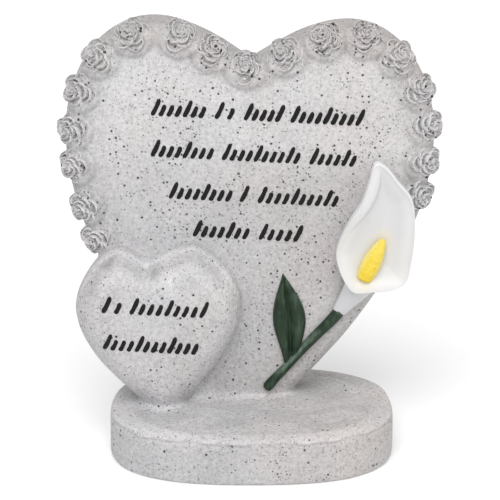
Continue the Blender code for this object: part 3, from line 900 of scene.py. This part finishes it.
def stem_route(count):
    top = (LILY_FOOT[0] - 0.0115, LILY_FOOT[1] - 0.0096)
    foot = (0.0072, BASE_HEIGHT + 0.0045)
    upper = (0.0295, BASE_HEIGHT + 0.0298)
    lower = (0.0165, BASE_HEIGHT + 0.0170)
    return np.concatenate([bezier(top, upper, lower, foot, count), [foot]])


def make_stem(heart):
    """The stem: faceted along its length, cut square at its top and flared at its foot."""
    route = stem_route(48)
    depth = heart.face(route)
    stations = [(Vector((route[0][0], depth[0] - STEM_RISE, route[0][1])), 0.86 * STEM_RADIUS)]
    for index, ((x, z), y) in enumerate(zip(route, depth)):
        share = index / (len(route) - 1)
        radius = STEM_RADIUS * (0.97 - 0.26 * math.sin(math.pi * share**1.6))
        if share > 0.94:
            radius *= math.sqrt(max(0.45, 1 - ((share - 0.94) / 0.08) ** 2))
        wander = 0.00025 * math.sin(11 * share + 0.7)
        stations.append((Vector((x + wander, y - STEM_RISE, z)), radius))

    def facets(angle, share):
        ridge = 0.05 * math.cos(3 * angle + 0.6 + 1.4 * share)
        return 0.95 + ridge + 0.02 * math.sin(19 * share + 2 * angle)

    stem = tube("lily_stem", stations, 44, facets)
    top, foot = stations[0][0], stations[-1][0]
    along = (foot - top).normalized()
    # a painted highlight along the upper left side of the stem's middle
    lit = Vector((along.z, -0.5, -along.x)).normalized()
    painted_highlight = []
    for vertex in stem.data.vertices:
        share = (vertex.co - top).dot(along) / (foot - top).length
        side = max(0.0, vertex.normal.dot(lit) - 0.55) / 0.45
        painted_highlight.append(0.8 * side**0.7 * max(0.0, 1 - abs((share - 0.55) / 0.33) ** 3))
    paint(stem, "painted_highlight", painted_highlight)
    return stem


def make_throat(heart):
    """The throat, flattened against the heart, widening from the stem into the hood."""
    top = Vector((LILY_FOOT[0] - 0.0010, 0, LILY_FOOT[1] + 0.0065))
    x, z = stem_route(7)[0]
    low = Vector((x, 0, z))
    stations = []
    for step in range(25):
        t = step / 24
        centre = top.lerp(low, t)
        centre.y = heart.face(np.array([(centre.x, centre.z)]))[0] - STEM_RISE - THROAT_LIFT * (1 - t)
        stations.append((centre, THROAT_RADIUS + (THROAT_END - THROAT_RADIUS) * t**0.85))
    return tube("lily_throat", stations, 48, None, THROAT_FLATNESS)


def leaf_half(t):
    """Half the leaf's width at a share of its length: a pointed blade on a neck that joins the stem."""
    blade = LEAF_WIDTH / 2 * math.sin(math.pi * t**0.92) ** 1.15
    return blade + LEAF_NECK / 2 * max(0.0, 1 - t / 0.35) ** 2


def make_leaf(heart):
    """A pointed leaf folded along its middle, with side veins that run up towards the tip."""
    u = np.linspace(-1, 1, 37)
    out = np.abs(u)
    crest = 1 - 1.1 * (out - 0.60) ** 2
    valley = 0.75 * LEAF_FOLD / LEAF_PROUD * bell(u, 0, 0.20)
    edge = np.sqrt(1 - out**8)
    rings = []
    for t in 0.997 * np.linspace(0, 1, 90):
        half = leaf_half(t)
        wave = np.sin(2 * np.pi * (6.5 * t - 1.5 * out))
        vein = 0.045 * wave * out**0.5 * (1 - out) * (1 - t)
        lift = LEAF_PROUD * (edge * (crest + vein) - valley) * min(1.0, 3 * half / LEAF_WIDTH)
        x = LEAF_FOOT[0] + LEAF_BOW * 4 * t * (1 - t) + half * np.append(0.998 * u, (0.5, -0.5))
        z = np.full(len(x), LEAF_FOOT[1] + LEAF_LENGTH * t)
        spots = turned(np.stack([x, z], -1), LEAF_FOOT, -LEAF_LEAN)
        rings.append(flat(spots, heart.face(spots) - np.append(lift, (-0.0012, -0.0012))))
    return skin_rings("lily_leaf", rings)


def stroke_places(rows):
    places = []
    lean = math.tan(STROKE_SLANT)
    spare = lean * STROKE_LOW + STROKE_WIDTH
    for start_z, words in rows:
        row_start = words[0][0]
        for word_start, word_end in words:
            room = word_end - word_start - spare
            gaps = round(room / STROKE_PITCH - 0.4)
            for index in range(gaps + 1):
                x = word_start + STROKE_WIDTH / 2 + index * room / max(1, gaps)
                z = start_z - math.tan(ROW_FALL) * (x - row_start)
                reach = STROKE_TALL if index % STROKE_TALL_TURN == 0 else STROKE_LOW
                places.append(((x, z), (x + reach * lean, z + reach)))
    return places


def make_strokes(name, heart, rows):
    """Rounded brush strokes in the rows, each a little swollen in its middle."""
    steps = np.linspace(0, 1, 13), np.linspace(-1, 1, 9)
    t, u = (v.ravel() for v in np.meshgrid(*steps, indexing="ij"))
    ends = np.sqrt(1 - np.abs(2 * t - 1) ** 6)
    lift = 1.25 * STROKE_RELIEF * np.sqrt(1 - u * u) * ends - 0.00006
    bend = 0.00025 * np.sin(np.pi * t)
    points = []
    faces = []
    for number, (foot, head) in enumerate(stroke_places(rows)):
        along = np.subtract(head, foot)
        side = np.array([along[1], -along[0]]) / np.hypot(*along)
        swelling = 1.16 - 0.14 * t + 0.07 * np.sin(9 * t + number)
        width = STROKE_SPREAD * STROKE_WIDTH / 2 * swelling * np.maximum(0.12, ends)
        spots = foot + along * t[:, None] + side * (u * width + bend)[:, None]
        first = len(points)
        points += list(flat(spots, heart.face(spots) - lift))
        columns = len(steps[1])
        for a in (first + i * columns + j for i in range(len(steps[0]) - 1) for j in range(columns - 1)):
            faces.append((a, a + 1, a + columns + 1, a + columns))
    return build_mesh(name, points, faces)


# Materials

class Nodes:
    """A small helper that wires shader nodes."""

    def __init__(self, name):
        self.material = bpy.data.materials.new(name)
        self.material.use_nodes = True
        self.tree = self.material.node_tree
        self.shader = self.tree.nodes["Principled BSDF"]
        self.place = self.add("ShaderNodeTexCoord").outputs["Object"]

    def add(self, kind, **values):
        node = self.tree.nodes.new(kind)
        for key, value in values.items():
            setattr(node, key, value)
        return node

    def feed(self, socket, value):
        """Links the socket, or sets it where its value is the same everywhere."""
        if isinstance(value, bpy.types.NodeSocket):
            self.tree.links.new(value, socket)
        else:
            socket.default_value = (*value, 1.0) if socket.type == "RGBA" else value

    def feed_all(self, node, sockets):
        for key, value in sockets.items():
            self.feed(node.inputs[key], value)
        return node

    def noise(self, scale, detail, rough=0.55, vector=None, output="Fac"):
        sockets = {"Scale": scale, "Detail": detail, "Roughness": rough, "Vector": vector or self.place}
        return self.feed_all(self.add("ShaderNodeTexNoise"), sockets).outputs[output]

    def ramp(self, source, *stops):
        node = self.feed_all(self.add("ShaderNodeValToRGB"), {"Fac": source})
        elements = node.color_ramp.elements
        while len(elements) < len(stops):
            elements.new(0.5)
        for element, (place, value) in zip(elements, stops):
            element.position = place
            colour = value if isinstance(value, tuple) else (value, value, value)
            element.color = (*colour, 1.0)
        return node.outputs["Color"]

    def maths(self, operation, *values, clamp=False):
        node = self.add("ShaderNodeMath", operation=operation, use_clamp=clamp)
        return self.feed_all(node, dict(enumerate(values))).outputs[0]

    def mix(self, factor, a, b, blend="MIX"):
        node = self.add("ShaderNodeMix", data_type="RGBA", blend_type=blend)
        return self.feed_all(node, {0: factor, 6: a, 7: b}).outputs[2]

    def bump(self, height, strength, distance, **below):
        sockets = {"Height": height, "Strength": strength, "Distance": distance, **below}
        return self.feed_all(self.add("ShaderNodeBump"), sockets).outputs["Normal"]

    def painted(self, name):
        """What is painted on the vertices under a name."""
        return self.add("ShaderNodeAttribute", attribute_name=name).outputs["Fac"]

    def under(self, height, reach):
        """Rises from 0 at a height to 1 at a reach below it."""
        split = self.feed_all(self.add("ShaderNodeSeparateXYZ"), {0: self.place})
        gap = self.maths("SUBTRACT", height, split.outputs["Z"])
        return self.maths("MULTIPLY", gap, 1 / reach, clamp=True)

    def specks(self, vector, cell, share, size, seed):
        """Round specks: a share of the cells of a size hold one, of a random size up to size of a cell."""
        shifted = self.add("ShaderNodeVectorMath", operation="ADD")
        self.feed_all(shifted, {0: vector, 1: (seed, seed * 0.7, seed * 1.3)})
        cells = self.add("ShaderNodeTexVoronoi")
        self.feed_all(cells, {"Scale": 1 / cell, "Vector": shifted.outputs[0]})
        split = self.feed_all(self.add("ShaderNodeSeparateColor"), {0: cells.outputs["Color"]})
        chosen = self.maths("LESS_THAN", split.outputs[0], share)
        reach = self.maths("MULTIPLY_ADD", split.outputs[1], size * 0.65, size * 0.35)
        gap = self.maths("SUBTRACT", reach, cells.outputs["Distance"])
        return self.maths("MULTIPLY", self.maths("MULTIPLY", gap, 9.0, clamp=True), chosen)

    def finish(self, colour, roughness, specular, **normal):
        sockets = {"Base Color": colour, "Roughness": roughness, "Specular IOR Level": specular, **normal}
        self.feed_all(self.shader, sockets)
        return self.material


def stone_material(name, specks_and_shade, grit=1.0):
    """Pale grey paint with specks of several sizes, painted shade in its hollows and a faint painted
    highlight on its edges; a higher second argument adds specks and deepens that shade, grit enlarges the
    specks.
    """
    n = Nodes(name)
    warped = n.add("ShaderNodeVectorMath", operation="MULTIPLY_ADD")
    n.feed_all(warped, {0: n.noise(900, 2, output="Color"), 1: (0.0006, 0.0006, 0.0006), 2: n.place})
    vector = warped.outputs[0]
    tints = ((0.35, (0.562, 0.564, 0.574)), (0.5, (0.574, 0.562, 0.572)), (0.65, (0.582, 0.562, 0.565)))
    colour = n.ramp(n.noise(28, 2), *tints)
    mottle = n.noise(620, 4, 0.75)
    mottled = n.ramp(mottle, (0.30, 0.69), (0.5, 0.96), (0.70, 1.14))
    clouded = n.ramp(n.noise(38, 3, 0.6), (0.34, 0.945), (0.5, 1.0), (0.66, 1.045))
    # the random mottling and clouding, then the painted light and shade held on the vertices
    for layer in (mottled, clouded, n.painted("painted_light_and_patina")):
        colour = n.mix(1.0, colour, layer, "MULTIPLY")
    colour = n.mix(n.painted("warmth"), colour, (1.01, 0.965, 0.925), "MULTIPLY")
    crowded = n.ramp(n.noise(60, 3), (0.36, 0.45), (0.56, 1.0))
    fine = n.maths("MULTIPLY", n.specks(vector, 0.00095, 0.80, 0.38, 4.7), crowded)
    colour = n.mix(n.maths("MULTIPLY", fine, 0.72), colour, (0.15, 0.15, 0.155))
    middling = n.maths("MULTIPLY", n.specks(vector, 0.0015, 0.66 + specks_and_shade, 0.32 * grit, 9.1), crowded)
    colour = n.mix(n.maths("MULTIPLY", middling, 0.85), colour, (0.08, 0.08, 0.085))
    big = n.specks(vector, 0.0029, 0.52 + specks_and_shade, 0.26 * grit, 2.3)
    big = n.maths("MAXIMUM", big, n.specks(vector, 0.0080, 0.30 + specks_and_shade, 0.115, 6.1))
    drops = n.specks(vector, 0.0040, 0.42, 0.23, 7.7)
    drops = n.maths("MULTIPLY", drops, n.under(BASE_HEIGHT - BASE_RIM_DROP, 0.0015))
    big = n.maths("MULTIPLY", n.maths("MAXIMUM", big, drops), 0.96)
    colour = n.mix(big, colour, (0.018, 0.018, 0.020))
    # painted shade in the hollows, deeper on the roses, with a faint painted highlight on the edges
    hollow = n.add("ShaderNodeNewGeometry").outputs["Pointiness"]
    shade = n.ramp(hollow, (0.42, 0.62 - 0.4 * specks_and_shade), (0.49, 0.97 - 0.1 * specks_and_shade), (0.56, 1.04))
    colour = n.mix(1.0, colour, shade, "MULTIPLY")
    rough = n.ramp(mottle, (0.3, 0.66), (0.7, 0.82))
    grain = n.bump(n.noise(1500, 4, 0.65), 0.36, 0.0004)
    return n.finish(colour, rough, 0.35, Normal=n.bump(mottle, 0.22, 0.0006, Normal=grain))


def white_material():
    """Satin white paint on the hood, thinning to the stone's pale grey down the throat."""
    n = Nodes("petal_white")
    tints = ((0.3, (0.712, 0.711, 0.722)), (0.55, (0.742, 0.738, 0.746)), (0.75, (0.752, 0.747, 0.750)))
    colour = n.ramp(n.noise(70, 3), *tints)
    thin = n.maths("MULTIPLY", n.under(LILY_FOOT[1] + 0.0075, 0.006), 0.85)
    colour = n.mix(thin, colour, (0.590, 0.592, 0.605))
    colour = n.mix(n.painted("shade"), colour, (0.600, 0.597, 0.600))
    colour = n.mix(n.painted("stain"), colour, (0.84, 0.70, 0.22))
    streak = n.noise(700, 3)
    rough = n.ramp(streak, (0.3, 0.46), (0.7, 0.62))
    return n.finish(colour, rough, 0.35, Normal=n.bump(streak, 0.12, 0.0004))


def yellow_material():
    """Matt yellow paint, thinner where the spike is pale."""
    n = Nodes("spike_yellow")
    grain = n.noise(620, 4)
    tints = ((0.30, (0.70, 0.48, 0.020)), (0.5, (0.755, 0.555, 0.034)), (0.72, (0.79, 0.62, 0.065)))
    colour = n.mix(n.painted("pale"), n.ramp(grain, *tints), (0.80, 0.69, 0.25))
    rough = n.ramp(grain, (0.3, 0.50), (0.7, 0.64))
    return n.finish(colour, rough, 0.3, Normal=n.bump(grain, 0.20, 0.0004))


def green_material():
    """Dark green paint, brushed thin in places, with fine darker lines along the leaf, painted highlights
    on raised edges and along the stem's upper left side.
    """
    n = Nodes("leaf_green")
    stretched = n.add("ShaderNodeMapping")
    n.feed_all(stretched, {"Rotation": (0, LEAF_LEAN, 0), "Scale": (1.0, 1.0, 0.22), "Vector": n.place})
    brushed = n.noise(420, 4, 0.62, stretched.outputs["Vector"])
    tints = ((0.32, (0.008, 0.018, 0.009)), (0.52, (0.017, 0.037, 0.018)), (0.74, (0.048, 0.080, 0.050)))
    colour = n.ramp(brushed, *tints)
    worn = n.ramp(n.noise(120, 3), (0.55, 0.0), (0.75, 0.35))
    colour = n.mix(worn, colour, (0.095, 0.150, 0.110))
    # a painted highlight on the leaf's and stem's raised edges
    raised = n.add("ShaderNodeNewGeometry").outputs["Pointiness"]
    colour = n.mix(n.ramp(raised, (0.53, 0.0), (0.60, 0.40)), colour, (0.10, 0.155, 0.115))
    # the painted highlight along the stem, broken by the brush grain
    stem_highlight = n.maths("MULTIPLY", n.painted("painted_highlight"), n.ramp(brushed, (0.35, 0.35), (0.6, 1.0)))
    colour = n.mix(stem_highlight, colour, (0.20, 0.265, 0.215))
    rough = n.ramp(brushed, (0.3, 0.42), (0.7, 0.60))
    return n.finish(colour, rough, 0.28, Normal=n.bump(brushed, 0.30, 0.0005))


def black_material():
    """Black paint, a little uneven."""
    n = Nodes("stroke_black")
    grain = n.noise(1200, 3)
    colour = n.ramp(grain, (0.35, (0.004, 0.004, 0.004)), (0.72, (0.014, 0.013, 0.013)))
    rough = n.ramp(grain, (0.3, 0.46), (0.7, 0.62))
    return n.finish(colour, rough, 0.2, Normal=n.bump(grain, 0.3, 0.0004))


# Stage

def make_stage():
    """A plain pale floor and an even studio light."""
    reach = FLOOR_SIZE / 2
    corners = [(-reach, -reach, 0), (reach, -reach, 0), (reach, reach, 0), (-reach, reach, 0)]
    floor = build_mesh("floor", corners, [(0, 1, 2, 3)], False)
    n = Nodes("pale_floor")
    n.feed_all(n.shader, {"Emission Color": (1.0, 1.0, 1.0), "Emission Strength": 0.12})
    colour = n.ramp(n.noise(40, 2), (0.3, 0.925), (0.7, 0.935))
    floor.data.materials.append(n.finish(colour, 0.9, 0.0))
    world = bpy.data.worlds.new("studio")
    world.use_nodes = True
    background = world.node_tree.nodes["Background"]
    background.inputs["Color"].default_value = (1.0, 1.0, 1.0, 1.0)
    background.inputs["Strength"].default_value = WORLD_STRENGTH
    bpy.context.scene.world = world


def sun(name, direction, strength, softness):
    data = bpy.data.lights.new(name, "SUN")
    data.energy = strength
    data.angle = math.radians(softness)
    light = add_object(name, data)
    light.rotation_euler = (-Vector(direction)).to_track_quat("-Z", "Y").to_euler()


def make_camera():
    data = bpy.data.cameras.new("camera")
    data.lens = CAMERA_LENS
    data.sensor_width = 36
    data.sensor_fit = "HORIZONTAL"
    camera = add_object("camera", data)
    back = Vector((0, -math.cos(CAMERA_ELEVATION), math.sin(CAMERA_ELEVATION)))
    camera.location = CAMERA_TARGET + CAMERA_DISTANCE * back
    camera.rotation_euler = (math.pi / 2 - CAMERA_ELEVATION, 0, 0)
    bpy.context.scene.camera = camera


def main():
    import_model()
    cad_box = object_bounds()
    large = large_heart()
    small = small_heart()
    places = rose_places(large)
    stone = stone_material("speckled_stone", 0.0)
    rose_stone = stone_material("rose_stone", 0.20, 1.35)
    white = white_material()
    green = green_material()
    black = black_material()
    pieces = (
        (stone_body(large, small, places), stone, "speckled_stone"),
        (make_roses(places), rose_stone, "speckled_stone"),
        (make_hood(), white, "petal_white"),
        (make_throat(large), white, "petal_white"),
        (make_spike(), yellow_material(), "spike_yellow"),
        (make_stem(large), green, "leaf_green"),
        (make_leaf(large), green, "leaf_green"),
        (make_strokes("large_strokes", large, LARGE_ROWS), black, "stroke_black"),
        (make_strokes("small_strokes", small, SMALL_ROWS), black, "stroke_black"),
    )
    for piece, finish, slot in pieces:
        keep_inside(piece, cad_box)
        piece.data.materials.append(finish)
        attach(piece, "root")
        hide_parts(NODE)
    make_stage()
    sun("key", (-0.12, -0.78, 1.0), 1.7, 40)
    sun("fill", (0.8, -1.0, 0.35), 0.45, 60)
    bpy.context.scene.view_settings.view_transform = "Standard"
    make_camera()


main()
